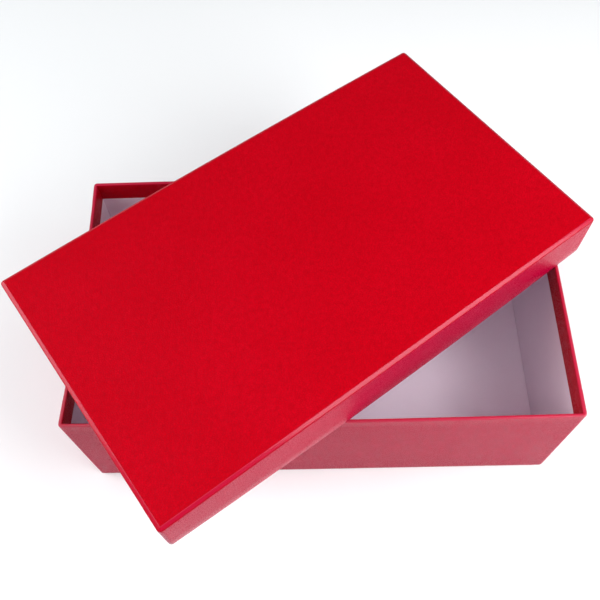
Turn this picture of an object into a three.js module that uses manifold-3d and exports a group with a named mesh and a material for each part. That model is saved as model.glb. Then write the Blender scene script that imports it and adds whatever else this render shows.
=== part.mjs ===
// A rigid paperboard gift box in millimetres, +Z up. The lid lies turned on the base's rim, so the box
// stands half open. The origin is the centre of the base's underside, with +X along its long side.
// Base and lid are the same build: a folded board tray, paper stays glued round its corners, a grained
// paper wrap folded over its rim, and a white paper lining.
import * as THREE from 'three';
import { ConvexGeometry } from 'three/addons/geometries/ConvexGeometry.js';
import { mergeVertices } from 'three/addons/utils/BufferGeometryUtils.js';
import Module from 'manifold-3d';

const wasm = await Module();
wasm.setup();

// Outside sizes of the two trays.
const BASE = { length: 300, width: 172, height: 99 };
const LID_WALL_CLEARANCE = 0.3;  // air between the lid's inside and the base's outside, when closed

// Sheet thicknesses and the spaces between sheets.
const WRAP = 0.2;                // grained cover paper
const STAY = 0.12;               // corner stay paper
const BOARD = 1.5;               // greyboard
const LINER = 0.15;              // white lining paper
const STAY_AIR = 0.04;           // on each side of a stay
const GLUE = 0.1;                // glue line between two sheets

// How far each sheet's outer face lies inside the tray's outside. Its inner face is one thickness on.
const STAY_IN = WRAP + STAY_AIR;
const BOARD_IN = STAY_IN + STAY + STAY_AIR;
const TURN_IN_IN = BOARD_IN + BOARD + GLUE;
const LINER_IN = TURN_IN_IN + WRAP + GLUE;
const WALL = TURN_IN_IN + WRAP;  // the whole wall as it shows at the rim

// The lid clears the base by its own walls and the clearance, all round.
const LID_HEIGHT = 34.5;
const LID_EXTRA = 2 * (WALL + LID_WALL_CLEARANCE);
const LID = { length: BASE.length + LID_EXTRA, width: BASE.width + LID_EXTRA, height: LID_HEIGHT };

// Where the lid rests: its centre, its turn, and the air under its rim.
const LID_CENTRE_X = -10;
const LID_CENTRE_Y = 8;
const LID_TURN_DEG = 35.7;
const LID_REST_GAP = 0.3;

// Folds and edges.
const FOLD_RADIUS = 2.5;         // outside radius of every folded edge and upright corner
const FOLD_FACETS = 4;           // flat facets in a quarter turn
const TURN_IN_SHOWN = 15;        // cover paper left showing inside the rim
const LINER_LAP = 3;             // the lining covers this much more of the turned-in paper
const STAY_LEG = 18;             // a stay's reach along each wall from the corner
const STAY_END = 4;              // a stay stops this far short of the fold and of the rim
const CUT_MARGIN = 1;            // how far a cutting block runs past what it cuts

// ---------------------------------------------------------------- materials

function paper(color, roughness) {
  return new THREE.MeshStandardMaterial({ color, roughness, metalness: 0 });
}

const coverPaper = () => paper(0xc4001c, 0.42);
const greyBoard = () => paper(0x8d877c, 0.92);
const stayPaper = () => paper(0xb08d62, 0.85);
const liningPaper = () => paper(0xf1edee, 0.8);

// ---------------------------------------------------------------- solids

function solid(geometry) {
  const bare = geometry.clone();
  bare.deleteAttribute('normal');
  bare.deleteAttribute('uv');
  const merged = mergeVertices(bare);
  return new wasm.Manifold(new wasm.Mesh({
    numProp: 3,
    vertProperties: new Float32Array(merged.attributes.position.array),
    triVerts: new Uint32Array(merged.index.array),
  }));
}

function geometryOf(manifold) {
  const mesh = manifold.getMesh();
  const geometry = new THREE.BufferGeometry();
  geometry.setAttribute('position', new THREE.BufferAttribute(mesh.vertProperties, 3));
  geometry.setIndex(new THREE.BufferAttribute(mesh.triVerts, 1));
  geometry.computeVertexNormals();
  return geometry;
}

// The points of a level rounded rectangle that lies `inset` inside the tray's outline.
function ring(tray, inset, z) {
  const radius = Math.max(FOLD_RADIUS - inset, 0);
  const x = tray.length / 2 - inset - radius;
  const y = tray.width / 2 - inset - radius;
  const points = [];
  for (const [sx, sy, start] of [[1, 1, 0], [-1, 1, 1], [-1, -1, 2], [1, -1, 3]]) {
    for (let i = 0; i <= FOLD_FACETS; i += 1) {
      const angle = (start + i / FOLD_FACETS) * Math.PI / 2;
      points.push(new THREE.Vector3(
        sx * x + radius * Math.cos(angle), sy * y + radius * Math.sin(angle), z));
    }
  }
  return points;
}

// A block with upright sides and square edges, `inset` inside the tray's outline.
function squareBlock(tray, inset, bottom, top) {
  return solid(new ConvexGeometry([...ring(tray, inset, bottom), ...ring(tray, inset, top)]));
}

// The same with the tray's folded bottom edge: it starts `inset` above the tray's underside.
function foldedBlock(tray, inset, top) {
  const points = ring(tray, inset, top);
  for (let i = 0; i <= FOLD_FACETS; i += 1) {
    const angle = i / FOLD_FACETS * Math.PI / 2;
    const reach = FOLD_RADIUS - inset;
    points.push(...ring(tray, FOLD_RADIUS - reach * Math.cos(angle),
      FOLD_RADIUS - reach * Math.sin(angle)));
  }
  return solid(new ConvexGeometry(points));
}

// ---------------------------------------------------------------- the sheets of one tray

// The board, folded up from one blank, under the cover paper.
function boardTray(tray) {
  const inner = BOARD_IN + BOARD;
  const rim = tray.height - WRAP - GLUE;
  return foldedBlock(tray, BOARD_IN, rim)
    .subtract(squareBlock(tray, inner, inner, tray.height + CUT_MARGIN));
}

// The cover paper: underside, four walls, over the rim and down the inside.
function coverWrap(tray) {
  const mouth = squareBlock(tray, WALL, tray.height / 2, tray.height + CUT_MARGIN);
  const skin = foldedBlock(tray, 0, tray.height)
    .subtract(foldedBlock(tray, WRAP, tray.height - WRAP))
    .subtract(mouth);
  const hem = tray.height - TURN_IN_SHOWN - LINER_LAP;
  const turnIn = squareBlock(tray, TURN_IN_IN, hem, tray.height - WRAP / 2)
    .subtract(squareBlock(tray, WALL, hem - CUT_MARGIN, tray.height + CUT_MARGIN));
  return skin.add(turnIn);
}

// A stay glued round the outside of one upright corner of the board; sx and sy pick the corner.
function cornerStay(tray, sx, sy) {
  const bottom = FOLD_RADIUS + STAY_END;
  const top = tray.height - STAY_END;
  const sleeve = squareBlock(tray, STAY_IN, bottom, top)
    .subtract(squareBlock(tray, STAY_IN + STAY, bottom - CUT_MARGIN, top + CUT_MARGIN));
  const corner = new THREE.BoxGeometry(2 * STAY_LEG, 2 * STAY_LEG, 2 * tray.height);
  corner.translate(sx * tray.length / 2, sy * tray.width / 2, tray.height);
  return sleeve.intersect(solid(corner));
}

// The lining round the walls, from the floor lining up over the edge of the turned-in paper.
function wallLiner(tray) {
  const bottom = TURN_IN_IN + LINER + GLUE;
  const top = tray.height - TURN_IN_SHOWN;
  return squareBlock(tray, LINER_IN, bottom, top)
    .subtract(squareBlock(tray, LINER_IN + LINER, bottom - CUT_MARGIN, top + CUT_MARGIN));
}

// The lining sheet that lies flat on the board's floor.
function floorLiner(tray) {
  return squareBlock(tray, TURN_IN_IN, TURN_IN_IN, TURN_IN_IN + LINER);
}

// ---------------------------------------------------------------- assembly

function piece(name, manifold, material) {
  const mesh = new THREE.Mesh(geometryOf(manifold), material);
  mesh.name = name;
  return mesh;
}

// One whole tray, standing on z = 0 with its mouth up. `front` is the side of Y that is its front.
function trayGroup(name, tray, floorName, front) {
  const group = new THREE.Group();
  group.add(piece(`${name}_board`, boardTray(tray), greyBoard()));
  for (const [frontBack, sy] of [['front', front], ['back', -front]]) {
    for (const [side, sx] of [['left', -1], ['right', 1]]) {
      group.add(piece(`${name}_corner_stay_${frontBack}_${side}`, cornerStay(tray, sx, sy), stayPaper()));
    }
  }
  group.add(piece(`${name}_wrap`, coverWrap(tray), coverPaper()));
  group.add(piece(`${name}_wall_liner`, wallLiner(tray), liningPaper()));
  group.add(piece(`${name}_${floorName}_liner`, floorLiner(tray), liningPaper()));
  return group;
}

const base = trayGroup('base', BASE, 'floor', -1);

// The lid is the same kind of tray turned over, so its own Y runs the other way.
const lidTray = trayGroup('lid', LID, 'top', 1);
lidTray.rotation.x = Math.PI;
lidTray.position.z = LID.height;
const lid = new THREE.Group();
lid.add(lidTray);
lid.position.set(LID_CENTRE_X, LID_CENTRE_Y, BASE.height + LID_REST_GAP);
lid.rotation.z = THREE.MathUtils.degToRad(LID_TURN_DEG);

const giftBox = new THREE.Group();
giftBox.add(base, lid);

export default giftBox;
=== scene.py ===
import math
from collections import namedtuple

import bmesh
import bpy
from mathutils import Matrix, Vector, noise


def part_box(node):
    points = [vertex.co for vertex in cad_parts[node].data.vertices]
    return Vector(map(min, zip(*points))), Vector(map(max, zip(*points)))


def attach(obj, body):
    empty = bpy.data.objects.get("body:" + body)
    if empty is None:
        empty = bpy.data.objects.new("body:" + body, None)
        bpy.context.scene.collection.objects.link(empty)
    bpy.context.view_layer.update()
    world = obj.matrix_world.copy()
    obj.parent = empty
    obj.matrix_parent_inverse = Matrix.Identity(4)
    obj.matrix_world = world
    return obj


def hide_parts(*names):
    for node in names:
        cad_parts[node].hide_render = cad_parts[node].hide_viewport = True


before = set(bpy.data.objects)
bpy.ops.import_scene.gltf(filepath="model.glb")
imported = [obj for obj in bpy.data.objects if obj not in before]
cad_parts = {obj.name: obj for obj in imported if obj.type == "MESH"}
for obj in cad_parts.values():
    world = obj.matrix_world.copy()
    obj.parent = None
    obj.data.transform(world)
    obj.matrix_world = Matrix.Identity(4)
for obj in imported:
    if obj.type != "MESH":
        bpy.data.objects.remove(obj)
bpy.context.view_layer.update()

MM = 0.001

# ---------------------------------------------------------------- sizes, in millimetres
# Each tray is worked out standing on z = 0 with its mouth up. The lid is then turned over, turned
# on the spot and set where it rests.


def node_size(node):
    low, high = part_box(node)
    return (high - low) / MM


def node_centre(node):
    low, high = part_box(node)
    return (high + low) / 2 / MM


BASE_SIZE = node_size("base_wrap")
LID_CENTRE = node_centre("lid_wrap")
LID_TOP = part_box("lid_wrap")[1].z / MM
LID_HEIGHT = node_size("lid_wrap").z
LID_EXTRA = 5.0                # the lid is this much longer and wider than the base
LID_TURN = math.radians(35.7)  # how far the lid lies turned on the base

# The layers of a wall: how far in from the outer face each starts, and how thick it is.
WRAP = 0.2                     # cover paper
GLUE = 0.1                     # what glue and slack leave between two layers
STAY_IN, STAY = 0.24, 0.12     # corner stay
BOARD_IN, BOARD = 2 * WRAP, 1.5
WALL = 2.2                     # all of it, with the cover paper turned in
TURN_IN_IN = WALL - WRAP
LINER_IN, LINER = WALL + GLUE, 0.15

CORNER = 2.2                   # radius of the upright corners
TURN_IN_SHOWN = 15.0           # the cover paper shows this far down inside the rim
LINER_LAP = 3.0                # and goes on this far behind the lining
LINING_SHORT = 0.5             # the wall lining stops this far above the panel lining
STAY_LEG, STAY_END = 18.0, 4.0  # a stay's reach from the corner, and how far short it is at its ends
FLAP = 14.0                    # the lap of paper under the cover reaches this far along the short side
SEAM_AT, SEAM_HALF = 0.55, 0.16  # the cut edge of the lapped paper, from the corner's tangent

# How finely the sheets are divided.
ARC_STEPS = 7                  # round an upright corner
RIM_STEPS = 4                  # over each edge of the rim
FOLD_STEPS = 6                 # round the fold at the base's foot
SIDE_STEP = 9.0                # longest stretch between two stations along a side
NEAR_CORNER = [1.6, 3.2, 6.0, 9.5]  # stations this far from a corner's tangent
FIRST_STATION = 0.5            # and the first one on a side with no seam
STEP_HALF = 0.5                # half the width of the step where the lap ends
PAST_STAY = 1.5                # the last close station is this far past the stay
WALL_STEP, TURN_IN_STEP, LINING_STEP = 8.0, 5.0, 7.0
PANEL_IN = 7.0                 # the flat panels are a grid inside this inset
GRID_DIGITS = 5                # the grid's lines closer than this many decimals are one

# How the board bends.
LEAN = 1.25                    # a bowed wall leans most at its free edge: the power of the height
WALL_ZONE, WALL_BLEND = 9.0, 5.0  # what is this near a side goes with its wall, over this blend
PANEL_FROM, PANEL_FADE = 3.0, 4.0  # the panel's waves fade out from this height, over this much
PANEL_EDGE = 5.0               # and they fade in from the panel's edge this fast
PANEL_WAVE, PANEL_WAVE_LENGTH = 0.16, 55.0
RIM_WAVE, RIM_WAVE_LENGTH, RIM_SEED = 0.12, 40.0, 7.3
WALL_WAVE, WALL_WAVE_LENGTH = 0.10, 45.0

# ---------------------------------------------------------------- the two trays

# A place round the outline: a side's name with t from -1 to 1 along it, or "arc" with t as an angle.
# sx and sy say which corner it belongs to.
Station = namedtuple("Station", "kind sx sy t")

CORNERS = ((1, -1), (1, 1), (-1, 1), (-1, -1))  # anticlockwise
SIDES = ("x+", "y+", "x-", "y-")                # the side that follows each corner
SHORT_SIDES = ("x+", "x-")


def smooth(t):
    t = min(max(t, 0.0), 1.0)
    return t * t * (3 - 2 * t)


def ripple(x, y, length, depth):
    """Smooth noise, about -1 to 1, with waves of the given length."""
    return noise.noise(Vector((x / length, y / length, depth)))


def spread(start, end, step):
    """Heights from start to end, both left out, no further apart than step."""
    count = max(1, math.ceil(abs(end - start) / step))
    return [start + (end - start) * i / count for i in range(1, count)]


def side_steps(half, short):
    """Places along a side as fractions of its half length, from -1 to 1 without the ends."""
    first = [SEAM_AT - SEAM_HALF, SEAM_AT, SEAM_AT + SEAM_HALF] if short else [FIRST_STATION]
    near = first + NEAR_CORNER + [FLAP - STEP_HALF, FLAP + STEP_HALF, STAY_LEG + PAST_STAY]
    rest = half - near[-1]
    middle = spread(-rest, rest, SIDE_STEP)
    steps = [-(half - d) for d in near] + middle + [half - d for d in reversed(near)]
    return [s / half for s in steps]


class Tray:
    """One tray's sizes, how it is bent, how glossy its folds are and how strong their painted highlight is,
    and where it stands.

    bow is how far the middle of each wall leans out at its free edge, and crown how high the middle
    of the panel stands. off_corner is the corner that is out of true, off_shift how far it is off in
    X and Y, and off_bulge how far the middle of its long side is off in Y. The last argument says, for
    each side, how glossy its folded edges are and how strong their painted highlight is, from 0 to 1.
    """

    def __init__(self, name, size, place, seed, bow, crown, off_corner, off_shift, off_bulge, rub_and_highlight):
        self.name, self.place, self.seed = name, place, seed
        self.hx, self.hy, self.height = size.x / 2, size.y / 2, size.z
        self.bow, self.crown, self.rub_and_highlight = bow, crown, rub_and_highlight
        self.off_corner, self.off_shift, self.off_bulge = off_corner, off_shift, off_bulge
        self.stations = self.make_stations()

    def half_side(self, short):
        """Half the straight part of a side."""
        return (self.hy if short else self.hx) - CORNER

    def make_stations(self):
        out = []
        for number, (sx, sy) in enumerate(CORNERS):
            for i in range(ARC_STEPS + 1):
                angle = math.radians(90 * (number - 1) + 90 * i / ARC_STEPS)
                out.append(Station("arc", sx, sy, angle))
            side = SIDES[number]
            short = side in SHORT_SIDES
            for t in side_steps(self.half_side(short), short):
                out.append(Station(side, sx, sy, t))
        return out

    def rub_and_highlight_at(self, s):
        """How glossy the edge is here and how strong its painted highlight: each side has its own share,
        and a corner is between its two.
        """
        if s.kind != "arc":
            return self.rub_and_highlight[s.kind]
        share = math.cos(s.t) ** 2
        end, side = self.rub_and_highlight["x+" if s.sx > 0 else "x-"], self.rub_and_highlight["y+" if s.sy > 0 else "y-"]
        return end * share + side * (1 - share)

    def point(self, s, inset, z):
        """The outline at a station, moved in by inset."""
        radius = max(CORNER - inset, 0.0)
        x, y = self.hx - inset, self.hy - inset
        if s.kind == "arc":
            return Vector((s.sx * (x - radius) + radius * math.cos(s.t),
                           s.sy * (y - radius) + radius * math.sin(s.t), z))
        if s.kind in SHORT_SIDES:
            sign = 1 if s.kind == "x+" else -1
            return Vector((sign * x, sign * s.t * (y - radius), z))
        sign = 1 if s.kind == "y+" else -1
        return Vector((-sign * s.t * (x - radius), sign * y, z))

    def from_corner(self, s):
        """Distance from the nearer corner's tangent, along the side; 0 on a corner."""
        if s.kind == "arc":
            return 0.0
        return self.half_side(s.kind in SHORT_SIDES) * (1 - abs(s.t))

    def warp(self, p):
        """Bends a point the way the whole tray is bent."""
        q = p.copy()
        u, v = p.x / self.hx, p.y / self.hy
        side_x, side_y = math.copysign(1, p.x), math.copysign(1, p.y)
        mid_x, mid_y = 1 - min(u * u, 1), 1 - min(v * v, 1)
        rise = max(p.z / self.height, 0.0)
        # one corner out of true, and the long side beside it
        sx, sy = self.off_corner
        share = (1 + sx * u) / 2 * (1 + sy * v) / 2
        q.x += self.off_shift[0] * share
        q.y += self.off_shift[1] * share + self.off_bulge * (1 - u * u) * (1 + sy * v) / 2
        # walls bowed at their free edge, with the shallow waves that glue leaves in board
        near_x = smooth((abs(p.x) - (self.hx - WALL_ZONE)) / WALL_BLEND)
        near_y = smooth((abs(p.y) - (self.hy - WALL_ZONE)) / WALL_BLEND)
        bow_x = self.bow["x+"] if p.x > 0 else self.bow["x-"]
        bow_y = self.bow["y+"] if p.y > 0 else self.bow["y-"]
        wave = WALL_WAVE * rise * ripple(p.x, p.y, WALL_WAVE_LENGTH, p.z / WALL_WAVE_LENGTH + self.seed)
        q.x += side_x * near_x * mid_y * (bow_x * rise ** LEAN + wave)
        q.y += side_y * near_y * mid_x * (bow_y * rise ** LEAN + wave)
        # the panel: a slight crown, and waves too
        low = 1 - smooth((p.z - PANEL_FROM) / PANEL_FADE)
        wave = PANEL_WAVE * ripple(p.x, p.y, PANEL_WAVE_LENGTH, self.seed)
        q.z += low * (self.crown * mid_x * mid_y + wave * min(mid_x * mid_y * PANEL_EDGE, 1))
        # the free edge isn't quite level
        q.z += RIM_WAVE * rise * ripple(p.x, p.y, RIM_WAVE_LENGTH, self.seed + RIM_SEED)
        return q


def lid_place():
    return (Matrix.Translation((LID_CENTRE.x, LID_CENTRE.y, LID_TOP))
            @ Matrix.Rotation(LID_TURN, 4, "Z") @ Matrix.Rotation(math.pi, 4, "X"))


BASE = Tray("base", BASE_SIZE, Matrix.Identity(4), seed=1.7,
            bow={"x+": 0.5, "x-": -1.8, "y+": 0.5, "y-": 0.9}, crown=0.0,
            off_corner=(-1, -1), off_shift=(-1.4, 0.0), off_bulge=0.0,
            rub_and_highlight={"x+": 1.0, "x-": 1.0, "y+": 1.0, "y-": 1.0})
LID = Tray("lid", Vector((BASE_SIZE.x + LID_EXTRA, BASE_SIZE.y + LID_EXTRA, LID_HEIGHT)), lid_place(),
           seed=4.1, bow={"x+": 0.5, "x-": 0.5, "y+": 1.9, "y-": 1.2}, crown=0.25,
           off_corner=(1, -1), off_shift=(-1.2, 2.4), off_bulge=-1.2,
           rub_and_highlight={"x+": 0.3, "x-": 0.5, "y+": 1.0, "y-": 0.0})

# ---------------------------------------------------------------- profiles
# A profile's points are (inset, z, fold, polish and painted highlight). fold is up to 1 on a fold line,
# painted paler there, partly as wear and partly as painted highlight, and down to -1 in a crease, painted
# darker there as painted shade. The last value is 1 where handling has rubbed the grain smooth and glossy,
# which also brings a painted highlight tint, and more where that painted highlight is strongest.

# The lid's edge, from the flat panel to the wall: a crease, a bevel rubbed smooth and a second crease. The
# creases are painted darker as painted shade, and the bevel carries a painted highlight as well as its
# gloss.
LID_EDGE = [
    (5.0, 0.0, 0, 0), (3.3, 0.0, 0, 0), (2.75, 0.01, 0, 0), (2.45, 0.05, -0.6, 0),
    (2.25, 0.08, 0.6, 0.6), (2.0, 0.19, 0.5, 1), (1.6, 0.44, 0, 1), (1.1, 0.76, 0, 1),
    (0.7, 1.02, 0, 1), (0.44, 1.20, 0, 0.8), (0.28, 1.36, 0, 0.2), (0.28, 1.50, -1, 0),
    (0.11, 1.64, 0.2, 0.3), (0.02, 1.95, 0, 0), (0.0, 2.5, 0, 0), (0.0, 4.0, 0, 0)]
# The base has a plain fold at its foot.
FOOT_RADIUS, FOOT_FOLD = 2.0, 0.6  # the fold's radius, and how far its fold line is painted paler, partly as wear and partly as painted highlight
FOOT_FLAT = (5.0, 3.2)         # points on the flat before it, by their inset
FOOT_TOP = 3.2                 # height of the first point above it

# The layers under the cover paper follow both.
UNDER_FLAT = 2.5               # further in than this, a layer lies straight under the one outside it
UNDER_BEVEL = 0.6              # and on the bevel it is this share of the inset lower

RIM_DROP = 0.6                 # the rim's fold starts this far down
OUTER_RADIUS, INNER_RADIUS = 0.55, 0.35  # the rim's edges, on the paper's outer and inner face
RIM_SAG = 0.03                 # the rim's middle lies this much lower
# fold and polish at the rim, which set its paler folds, partly wear and partly painted highlight, and its
# gloss and painted
# highlight tint: where its outer edge starts, on that edge, in the middle, on its inner edge, and where
# that ends
RIM_START, RIM_OUTER, RIM_MIDDLE = (0.3, 0.8), (0.9, 2.0), (0.8, 1.5)
RIM_INNER, RIM_END = (0.4, 1.0), (0.1, 0.2)


def folded_edge(tray, inset=0.0):
    """From the flat panel to the upright wall, for a layer this far in."""
    if tray is LID:
        out = LID_EDGE
    else:
        out = [(flat, 0.0, 0, 0) for flat in FOOT_FLAT]
        for i in range(FOLD_STEPS + 1):
            a = math.radians(90 * i / FOLD_STEPS)
            worn_and_highlight = math.sin(2 * a)
            out.append((FOOT_RADIUS * (1 - math.sin(a)), FOOT_RADIUS * (1 - math.cos(a)),
                        FOOT_FOLD * worn_and_highlight, worn_and_highlight))
        out.append((0.0, FOOT_TOP, 0, 0))
    return [(i + inset, z + inset * (1 if i > UNDER_FLAT else UNDER_BEVEL), fold, polish_and_highlight)
            for i, z, fold, polish_and_highlight in out]


def rim_fold(height, outer, inner, radius):
    """Over the rim from the outer face to the inner face."""
    out = []
    for i in range(RIM_STEPS + 1):
        a = math.radians(90 * i / RIM_STEPS)
        out.append((outer + radius * (1 - math.cos(a)), height - radius * (1 - math.sin(a)),
                    *(RIM_OUTER if i else RIM_START)))
    out.append(((outer + inner) / 2, height - RIM_SAG, *RIM_MIDDLE))
    for i in range(RIM_STEPS, -1, -1):
        a = math.radians(90 * i / RIM_STEPS)
        out.append((inner - radius * (1 - math.cos(a)), height - radius * (1 - math.sin(a)),
                    *(RIM_INNER if i else RIM_END)))
    return out


# ---------------------------------------------------------------- meshes

MERGE, TOO_SHORT = 0.004, 0.001  # points this close are joined, and shorter edges taken out
SHARP = math.radians(38)         # an edge bent more than this is shaded as an edge
ON_FACE = 0.05                   # a ring with less inset than this is on the walls' outer face


class Sheet:
    """A closed thin solid made of rings round a tray and flat panels across it.

    Its points carry fold and the gloss-and-highlight share, as in a profile, and outer, which is 1 on the
    outer face, where it brings a painted reflection tint.
    """

    def __init__(self, tray):
        self.tray, self.bm = tray, bmesh.new()
        self.fold = self.bm.verts.layers.float.new("fold")
        self.polish_and_highlight = self.bm.verts.layers.float.new("polish_and_highlight")
        self.outer = self.bm.verts.layers.float.new("outer")

    def vert(self, p, fold=0.0, polish_and_highlight=0.0, outer=0.0):
        v = self.bm.verts.new(self.tray.warp(p))
        v[self.fold] = fold
        v[self.polish_and_highlight] = polish_and_highlight
        v[self.outer] = outer
        return v

    def ring(self, inset, z, fold=0.0, polish_and_highlight=0.0, swell=None):
        out = []
        outer = 1.0 if inset < ON_FACE else 0.0
        for s in self.tray.stations:
            extra = swell(s, z) if swell else 0.0
            out.append(self.vert(self.tray.point(s, inset - extra, z), fold,
                                 polish_and_highlight * self.tray.rub_and_highlight_at(s), outer))
        return out

    def face(self, *verts):
        self.bm.faces.new(verts)

    def bands(self, rings):
        """Faces between each ring and the next."""
        for lower, upper in zip(rings, rings[1:]):
            for i in range(len(lower)):
                j = (i + 1) % len(lower)
                self.face(lower[i], lower[j], upper[j], upper[i])

    def panel(self, z, up):
        """The flat grid inside PANEL_IN, which meets the ring there."""
        edge = [(s.kind, self.tray.point(s, PANEL_IN, z)) for s in self.tray.stations]
        xs = sorted({round(p.x, GRID_DIGITS) for kind, p in edge if kind not in SHORT_SIDES})
        ys = sorted({round(p.y, GRID_DIGITS) for kind, p in edge if kind == "arc" or kind in SHORT_SIDES})
        grid = [[self.vert(Vector((x, y, z))) for y in ys] for x in xs]
        for i in range(len(xs) - 1):
            for j in range(len(ys) - 1):
                quad = [grid[i][j], grid[i + 1][j], grid[i + 1][j + 1], grid[i][j + 1]]
                self.face(*(quad if up else reversed(quad)))

    def finish(self, name, material, node):
        bm = self.bm
        bmesh.ops.remove_doubles(bm, verts=bm.verts, dist=MERGE)
        bmesh.ops.dissolve_degenerate(bm, dist=TOO_SHORT, edges=bm.edges)
        bmesh.ops.recalc_face_normals(bm, faces=bm.faces)
        for f in bm.faces:
            f.smooth = True
        for e in bm.edges:
            if len(e.link_faces) == 2 and e.calc_face_angle(0.0) > SHARP:
                e.smooth = False
        for v in bm.verts:
            v.co = self.tray.place @ v.co * MM
        mesh = bpy.data.meshes.new(name)
        bm.to_mesh(mesh)
        bm.free()
        obj = bpy.data.objects.new(name, mesh)
        bpy.context.scene.collection.objects.link(obj)
        mesh.materials.append(material)
        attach(obj, self.tray.name)
        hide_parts(node)


LAP_LIFT, STAY_LIFT = 0.11, 0.05  # how far what lies under the cover paper lifts it
SEAM_DIP, SEAM_WIDTH = 0.17, 0.02  # the dip at the lap's cut edge, and how near it a station has to be
LIFT_FROM, LIFT_FADE = 2.2, 1.5   # all of this fades in from this height, over this much
SWELL_TO = 0.5                    # and it stops where the rim turns over, at this inset


def paper_swell(tray):
    """How far the corner laps and the stays lift the cover paper."""
    def swell(s, z):
        d = tray.from_corner(s)
        short = s.kind in SHORT_SIDES
        lift = LAP_LIFT if short and d < FLAP else 0.0
        if d < STAY_LEG and z < tray.height - STAY_END:
            lift += STAY_LIFT
        if short and abs(d - SEAM_AT) < SEAM_WIDTH:
            lift -= SEAM_DIP
        return lift * smooth((z - LIFT_FROM) / LIFT_FADE)
    return swell


def cover_paper(tray, material):
    """Outside from the panel up, over the rim and down to the hem, and back the same way inside."""
    s = Sheet(tray)
    rim = tray.height - RIM_DROP
    hem = tray.height - TURN_IN_SHOWN - LINER_LAP
    edge = folded_edge(tray)
    foot = edge[-1][1]
    outer = edge + [(0.0, z, 0, 0) for z in spread(foot, rim, WALL_STEP)]
    outer += rim_fold(tray.height, 0.0, WALL, OUTER_RADIUS)
    outer += [(WALL, z, 0, 0) for z in spread(rim, hem, TURN_IN_STEP) + [hem]]
    inner = [(TURN_IN_IN, z) for z in [hem] + spread(hem, rim, TURN_IN_STEP)]
    inner += [p[:2] for p in reversed(rim_fold(tray.height - WRAP, WRAP, TURN_IN_IN, INNER_RADIUS))]
    inner += [(WRAP, z) for z in spread(rim, foot, WALL_STEP)]
    inner += [p[:2] for p in reversed(folded_edge(tray, WRAP))]
    swell = paper_swell(tray)
    rings = [s.ring(PANEL_IN, 0.0)]
    rings += [s.ring(inset, z, fold, polish_and_highlight, swell if inset < SWELL_TO else None)
              for inset, z, fold, polish_and_highlight in outer]
    rings += [s.ring(inset, z) for inset, z in inner]
    rings.append(s.ring(PANEL_IN, WRAP))
    s.bands(rings)
    s.panel(0.0, False)
    s.panel(WRAP, True)
    s.finish(f"{tray.name}_cover_paper", material, f"{tray.name}_wrap")


BOARD_EDGE = 0.2               # chamfer of the board's cut edge


def board_tray(tray, material):
    s = Sheet(tray)
    rim = tray.height - WRAP - GLUE
    inside = BOARD_IN + BOARD
    edge = folded_edge(tray, BOARD_IN)
    places = [(PANEL_IN, BOARD_IN)] + [(inset, z) for inset, z, _, _ in edge]
    places += [(BOARD_IN, z) for z in spread(edge[-1][1], rim, WALL_STEP)]
    places += [(BOARD_IN, rim - BOARD_EDGE), (BOARD_IN + BOARD_EDGE, rim),
               (inside - BOARD_EDGE, rim), (inside, rim - BOARD_EDGE)]
    places += [(inside, z) for z in spread(rim, inside, WALL_STEP)]
    places += [(inside, inside), (PANEL_IN, inside)]
    s.bands([s.ring(inset, z) for inset, z in places])
    s.panel(BOARD_IN, False)
    s.panel(inside, True)
    s.finish(f"{tray.name}_greyboard", material, f"{tray.name}_board")


LINING_FOOT, LINING_TOP = 1.5, 1.0  # the rings next to the lining's lower and upper edge


def wall_lining(tray, material):
    s = Sheet(tray)
    top = tray.height - TURN_IN_SHOWN
    bottom = TURN_IN_IN + LINER + LINING_SHORT
    low, high = bottom + LINING_FOOT, top - LINING_TOP
    heights = [bottom, low] + spread(low, high, LINING_STEP) + [high, top]
    rings = [s.ring(LINER_IN, z) for z in heights]
    rings += [s.ring(LINER_IN + LINER, z) for z in reversed(heights)]
    s.bands(rings + rings[:1])
    s.finish(f"{tray.name}_wall_lining", material, f"{tray.name}_wall_liner")


def panel_lining(tray, kind, material):
    s = Sheet(tray)
    low, high, edge = TURN_IN_IN, TURN_IN_IN + LINER, TURN_IN_IN + GLUE
    s.bands([s.ring(PANEL_IN, low), s.ring(edge, low), s.ring(edge, high), s.ring(PANEL_IN, high)])
    s.panel(low, False)
    s.panel(high, True)
    s.finish(f"{tray.name}_{kind}_lining", material, f"{tray.name}_{kind}_liner")


STAY_STATIONS = [STAY_LEG - CORNER, 12.0, 8.0, 4.0, 1.5]  # along each leg, from the corner's tangent


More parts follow.
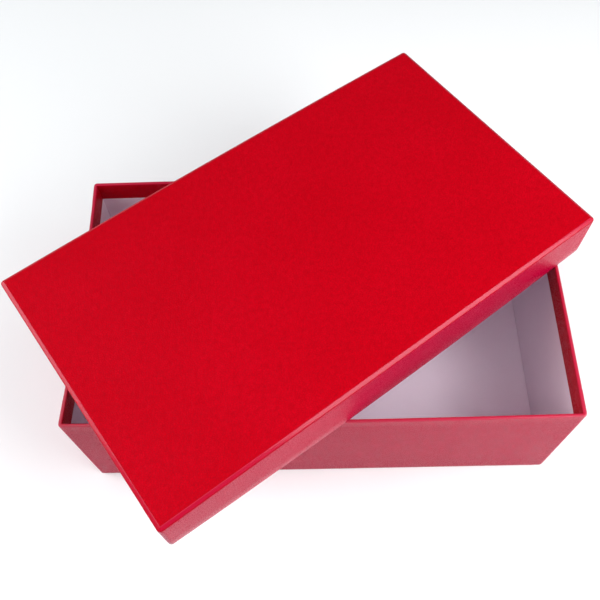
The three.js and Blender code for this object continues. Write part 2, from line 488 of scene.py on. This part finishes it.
def corner_stay(tray, name, sx, sy, material):
    """A paper stay round one upright corner: rings upward, each an open strip with two ends."""
    s = Sheet(tray)
    start = math.radians(90 * (CORNERS.index((sx, sy)) - 1))
    first = Vector((math.cos(start), math.sin(start), 0))
    last = Vector((-math.sin(start), math.cos(start), 0))

    def strip(inset, z):
        radius = CORNER - inset
        centre = Vector((sx * (tray.hx - CORNER), sy * (tray.hy - CORNER), z))
        out = [centre + first * radius - last * d for d in STAY_STATIONS]
        for i in range(ARC_STEPS + 1):
            a = start + math.radians(90 * i / ARC_STEPS)
            out.append(centre + Vector((math.cos(a), math.sin(a), 0)) * radius)
        out += [centre + last * radius - first * d for d in reversed(STAY_STATIONS)]
        return [s.vert(p) for p in out]

    bottom, top = CORNER + STAY_END, tray.height - STAY_END
    heights = [bottom] + spread(bottom, top, WALL_STEP) + [top]
    outer = [strip(STAY_IN, z) for z in heights]
    inner = [strip(STAY_IN + STAY, z) for z in heights]
    end = len(outer[0]) - 1
    for k in range(len(heights) - 1):
        for i in range(end):
            s.face(outer[k][i], outer[k][i + 1], outer[k + 1][i + 1], outer[k + 1][i])
            s.face(inner[k][i + 1], inner[k][i], inner[k + 1][i], inner[k + 1][i + 1])
        for i in (0, end):
            s.face(outer[k][i], outer[k + 1][i], inner[k + 1][i], inner[k][i])
    for k in (0, len(heights) - 1):
        for i in range(end):
            s.face(outer[k][i], inner[k][i], inner[k][i + 1], outer[k][i + 1])
    s.finish(f"{tray.name}_stay_{name}", material, f"{tray.name}_corner_stay_{name}")


# ---------------------------------------------------------------- materials
# Lengths here are in metres, a scale is in waves or cells to the metre, and colours are linear.


def rgba(colour):
    return (*colour, 1.0)


class Nodes:
    """A small helper for building a material's node tree."""

    def __init__(self, name):
        self.material = bpy.data.materials.new(name)
        self.material.use_nodes = True
        self.tree = self.material.node_tree
        self.shader = self.tree.nodes["Principled BSDF"]
        self.coords = self.tree.nodes.new("ShaderNodeTexCoord").outputs["Object"]

    def put(self, socket, value):
        if isinstance(value, bpy.types.NodeSocket):
            self.tree.links.new(value, socket)
        else:
            socket.default_value = value

    def set(self, **values):
        """Sets the shader's own sockets. An underscore stands for a space."""
        for key, value in values.items():
            self.put(self.shader.inputs[key.replace("_", " ")], value)

    def noise(self, scale, detail=3.0, roughness=0.55, distortion=0.0):
        node = self.tree.nodes.new("ShaderNodeTexNoise")
        for key, value in (("Vector", self.coords), ("Scale", scale), ("Detail", detail),
                           ("Roughness", roughness), ("Distortion", distortion)):
            self.put(node.inputs[key], value)
        return node.outputs["Fac"]

    def cells(self, scale, feature="F1", vector=None):
        node = self.tree.nodes.new("ShaderNodeTexVoronoi")
        node.feature = feature
        self.put(node.inputs["Vector"], vector or self.coords)
        self.put(node.inputs["Scale"], scale)
        return node.outputs["Distance"]

    def math(self, kind, a, b=0.0, clamp=False):
        node = self.tree.nodes.new("ShaderNodeMath")
        node.operation = kind
        node.use_clamp = clamp
        self.put(node.inputs[0], a)
        self.put(node.inputs[1], b)
        return node.outputs[0]

    def shifted(self, amount, by):
        """The coordinates moved along the diagonal by a texture times an amount."""
        node = self.tree.nodes.new("ShaderNodeVectorMath")
        node.operation = "MULTIPLY_ADD"
        for socket, value in zip(node.inputs, (by, (amount, amount, amount), self.coords)):
            self.put(socket, value)
        return node.outputs[0]

    def ramp(self, value, low, high, out_low=0.0, out_high=1.0):
        node = self.tree.nodes.new("ShaderNodeMapRange")
        for socket, v in zip(node.inputs[0:5], (value, low, high, out_low, out_high)):
            self.put(socket, v)
        return node.outputs[0]

    def mix(self, factor, a, b):
        """Mixes two colours, each a tuple or a socket."""
        node = self.tree.nodes.new("ShaderNodeMix")
        node.data_type = "RGBA"
        factor_socket, a_socket, b_socket = node.inputs[0], node.inputs[6], node.inputs[7]
        self.put(factor_socket, factor)
        self.put(a_socket, rgba(a) if isinstance(a, tuple) else a)
        self.put(b_socket, rgba(b) if isinstance(b, tuple) else b)
        return node.outputs[2]

    def attribute(self, name):
        node = self.tree.nodes.new("ShaderNodeAttribute")
        node.attribute_name = name
        return node.outputs["Fac"]

    def bump(self, height, strength, distance):
        node = self.tree.nodes.new("ShaderNodeBump")
        self.put(node.inputs["Strength"], strength)
        self.put(node.inputs["Distance"], distance)
        self.put(node.inputs["Height"], height)
        self.set(Normal=node.outputs["Normal"])


def cover_material():
    """Coated red paper embossed with a fine leather grain, glossier along the folds, with painted shade in
    the grain's grooves and the creases, painted highlight on the folds and a painted reflection tint on the
    outer walls.
    """
    n = Nodes("red_grained_paper")
    red, light_red = (0.440, 0.0003, 0.0054), (0.474, 0.0005, 0.0072)
    speck, groove_shade = (0.360, 0.0003, 0.0042), (0.290, 0.0003, 0.0033)
    wall_reflection_tint, painted_highlight_tint = (0.395, 0.0004, 0.027), (0.43, 0.002, 0.028)
    worn_and_highlight, crease_shade = (0.42, 0.045, 0.090), (0.12, 0.0005, 0.002)
    # the pebbles are about 1.3 mm across, and the rest of the grain is finer
    pebble_scale, small_scale, wrinkle_scale = 780.0, 1600.0, 1000.0
    speck_scale, patch_scale = 330.0, 14.0
    wander_scale, wander = 560.0, 0.0008
    pebble_share, small_share, wrinkle_share = 0.6, 0.25, 0.35
    grain_depth, grain_strength = 0.00012, 0.9
    shine = 0.38                   # how glossy the rubbed folds are

    # the grain: pebbles with wandering grooves between them, smaller ones in between, and wrinkles
    place = n.shifted(wander, n.noise(wander_scale, 2.0))
    pebble = n.ramp(n.cells(pebble_scale, "DISTANCE_TO_EDGE", place), 0.02, 0.28)
    small = n.cells(small_scale, "F1", place)
    wrinkle = n.noise(wrinkle_scale, 4.0, 0.6, 0.6)
    height = n.math("ADD", n.math("MULTIPLY", pebble, pebble_share), n.math("MULTIPLY", small, small_share))
    height = n.math("ADD", height, n.math("MULTIPLY", wrinkle, wrinkle_share))
    n.bump(height, grain_strength, grain_depth)

    # the colour: broad patches, specks, painted shade in the grain's grooves, and what the points of the
    # mesh carry:
    # a painted reflection tint on the outer walls, a painted highlight tint on the glossy folds, paler fold
    # lines that are partly wear and partly painted highlight, and painted shade in the creases
    fold, polish_and_highlight, outer = n.attribute("fold"), n.attribute("polish_and_highlight"), n.attribute("outer")
    colour = n.mix(n.ramp(n.noise(patch_scale, 3.0, 0.5), 0.35, 0.65), red, light_red)
    colour = n.mix(n.ramp(n.noise(speck_scale, 3.0, 0.6), 0.38, 0.66, 0.0, 0.58), colour, speck)
    # painted shade in the grain's grooves
    colour = n.mix(n.ramp(pebble, 0.0, 0.5, 0.60, 0.0), colour, groove_shade)
    # painted reflection tint on the outer walls
    colour = n.mix(n.ramp(outer, 0.0, 1.0, 0.0, 0.9), colour, wall_reflection_tint)
    # painted highlight tint where the folds are glossy
    colour = n.mix(n.ramp(polish_and_highlight, 0.0, 1.0, 0.0, 0.8), colour, painted_highlight_tint)
    # paler fold lines, partly wear and partly painted highlight
    colour = n.mix(n.ramp(fold, 0.25, 1.0, 0.0, 0.5), colour, worn_and_highlight)
    # painted shade in the creases
    colour = n.mix(n.ramp(fold, -0.9, -0.2, 0.55, 0.0), colour, crease_shade)

    rough = n.ramp(n.noise(60.0, 4.0), 0.3, 0.7, 0.23, 0.29)
    rough = n.math("ADD", rough, n.ramp(pebble, 0.0, 0.6, 0.07, 0.0))
    n.set(Base_Color=colour, Roughness=rough, IOR=1.15, Specular_Tint=rgba((1.0, 0.42, 0.85)),
          Coat_Weight=n.math("MULTIPLY", polish_and_highlight, shine, True), Coat_Roughness=0.15, Coat_IOR=1.5,
          Sheen_Weight=0.02, Sheen_Roughness=0.4, Sheen_Tint=rgba((0.6, 0.0, 1.0)))
    return n.material


def lining_material(name, shade):
    """Uncoated white lining paper: faint fibres, a soft rosy tint and a dull surface."""
    n = Nodes(name)
    # shade scales all the paper's colours; the walls' copy is darkened by it as painted shade
    dull, bright, fibre_colour = (tuple(c * shade for c in colour) for colour in (
        (0.93, 0.785, 0.895), (0.96, 0.815, 0.925), (0.78, 0.63, 0.73)))
    fibre = n.noise(700.0, 5.0, 0.7, 1.2)
    colour = n.mix(n.ramp(n.noise(35.0, 3.0, 0.5), 0.3, 0.7), dull, bright)
    colour = n.mix(n.ramp(fibre, 0.35, 0.7, 0.12, 0.0), colour, fibre_colour)
    n.set(Base_Color=colour, Roughness=n.ramp(fibre, 0.3, 0.7, 0.62, 0.78), Specular_IOR_Level=0.35)
    n.bump(fibre, 0.35, 0.00008)
    return n.material


def board_material():
    """Recycled greyboard with dark flecks."""
    n = Nodes("greyboard")
    dark, pale, fleck = (0.235, 0.22, 0.195), (0.33, 0.31, 0.275), (0.12, 0.11, 0.10)
    pulp = n.noise(260.0, 6.0, 0.7)
    colour = n.mix(n.ramp(pulp, 0.3, 0.7), dark, pale)
    colour = n.mix(n.ramp(n.cells(1500.0), 0.08, 0.2, 0.5, 0.0), colour, fleck)
    n.set(Base_Color=colour, Roughness=n.ramp(pulp, 0.3, 0.7, 0.85, 0.95))
    n.bump(pulp, 0.5, 0.00015)
    return n.material


def stay_material():
    """Brown kraft paper with a directionless fibre."""
    n = Nodes("kraft_stay_paper")
    dark, pale = (0.36, 0.23, 0.11), (0.47, 0.32, 0.17)
    fibre = n.noise(480.0, 6.0, 0.7, 1.0)
    colour = n.mix(n.ramp(fibre, 0.3, 0.7), dark, pale)
    n.set(Base_Color=colour, Roughness=n.ramp(fibre, 0.3, 0.7, 0.7, 0.85))
    n.bump(fibre, 0.4, 0.00006)
    return n.material


def floor_material():
    n = Nodes("white_floor")
    dull, bright = (0.84, 0.852, 0.865), (0.86, 0.872, 0.885)
    n.set(Base_Color=n.mix(n.noise(2.0, 2.0), dull, bright), Roughness=0.75, Specular_IOR_Level=0.2)
    return n.material


# ---------------------------------------------------------------- build

WALL_SHADE = 0.87              # the walls' lining is the same paper darkened, as painted shade
FRONT = {"base": -1, "lid": 1}  # the sign of the front's Y in each tray; the lid is turned over

cover = cover_material()
lining = lining_material("white_lining_paper", 1.0)
wall_paper = lining_material("white_lining_painted_shade", WALL_SHADE)
board = board_material()
kraft = stay_material()

for tray, panel_name in ((BASE, "floor"), (LID, "top")):
    cover_paper(tray, cover)
    board_tray(tray, board)
    wall_lining(tray, wall_paper)
    panel_lining(tray, panel_name, lining)
    front = FRONT[tray.name]
    for end, sy in (("front", front), ("back", -front)):
        for side, sx in (("left", -1), ("right", 1)):
            corner_stay(tray, f"{end}_{side}", sx, sy, kraft)

# ---------------------------------------------------------------- floor, light and camera, in metres

FLOOR_REACH, FLOOR_CELLS = 6.0, 8
FLOOR_DROP = 0.0002            # the floor lies this far under the box
WORLD_STRENGTH = 0.24          # a little light from all round
LIGHT_AIM = Vector((0, 0, 0.08))  # the middle of the box, which every light faces

scene = bpy.context.scene
scene.view_settings.view_transform = "Standard"
scene.view_settings.look = "None"
scene.view_settings.exposure = 0.0


def add_floor():
    mesh = bpy.data.meshes.new("floor")
    bm = bmesh.new()
    bmesh.ops.create_grid(bm, x_segments=FLOOR_CELLS, y_segments=FLOOR_CELLS, size=FLOOR_REACH)
    bm.to_mesh(mesh)
    bm.free()
    floor = bpy.data.objects.new("floor", mesh)
    scene.collection.objects.link(floor)
    mesh.materials.append(floor_material())
    floor.location.z = -FLOOR_DROP


def add_world():
    world = bpy.data.worlds.new("studio")
    scene.world = world
    world.use_nodes = True
    background = world.node_tree.nodes["Background"]
    background.inputs["Color"].default_value = rgba((1.0, 1.0, 1.0))
    background.inputs["Strength"].default_value = WORLD_STRENGTH


def direction(azimuth, elevation):
    """Unit vector. Azimuth 0 is +X and 90 is +Y, both angles in degrees."""
    a, e = math.radians(azimuth), math.radians(elevation)
    return Vector((math.cos(a) * math.cos(e), math.sin(a) * math.cos(e), math.sin(e)))


def softbox(name, azimuth, elevation, distance, width, height, radiance, colour):
    """A rectangular light that faces the box, as bright to look at as its radiance."""
    away = direction(azimuth, elevation)
    light = bpy.data.lights.new(name, "AREA")
    light.shape = "RECTANGLE"
    light.size, light.size_y = width, height
    light.energy = radiance * math.pi * width * height
    light.color = colour
    obj = bpy.data.objects.new(name, light)
    obj.location = away * distance + LIGHT_AIM
    obj.rotation_euler = away.to_track_quat("Z", "Y").to_euler()
    scene.collection.objects.link(obj)


add_floor()
add_world()

WHITE = (1.0, 1.0, 1.0)
COOL = (0.97, 0.995, 1.0)
softbox("high_back_left", 148, 63, 1.5, 0.7, 0.7, 1.8, COOL)
softbox("key_right", -28, 36, 0.72, 0.46, 0.46, 7.7, WHITE)
softbox("key_front", -85, 66, 1.0, 0.45, 0.45, 1.4, WHITE)
softbox("high_right", -10, 60, 1.0, 0.45, 0.45, 2.7, WHITE)
softbox("low_right", 0, 12, 1.0, 0.42, 0.42, 2.3, WHITE)
softbox("low_left", 177, 22, 1.8, 1.0, 0.8, 9.0, COOL)
softbox("near_left", -152, 42, 0.8, 0.4, 0.4, 3.8, COOL)

SENSOR, LENS = 36, 45.33       # mm
# The camera looks along +Y, turned this many degrees towards -X and down, and rolled a little.
CAMERA_SIDE, CAMERA_DOWN, CAMERA_ROLL = 1.30, 61.88, math.radians(-2.39)
CAMERA_PLACE = Vector((-6.85, -226.92, 510.34)) * MM


def add_camera():
    data = bpy.data.cameras.new("camera")
    data.sensor_width = SENSOR
    data.lens = LENS
    look = direction(90 + CAMERA_SIDE, -CAMERA_DOWN)
    level = look.cross(Vector((0, 0, 1))).normalized()
    upright = level.cross(look)
    right = math.cos(CAMERA_ROLL) * level + math.sin(CAMERA_ROLL) * upright
    up = math.cos(CAMERA_ROLL) * upright - math.sin(CAMERA_ROLL) * level
    camera = bpy.data.objects.new("camera", data)
    turn = Matrix((right, up, -look)).transposed().to_4x4()
    camera.matrix_world = Matrix.Translation(CAMERA_PLACE) @ turn
    scene.collection.objects.link(camera)
    scene.camera = camera


add_camera()
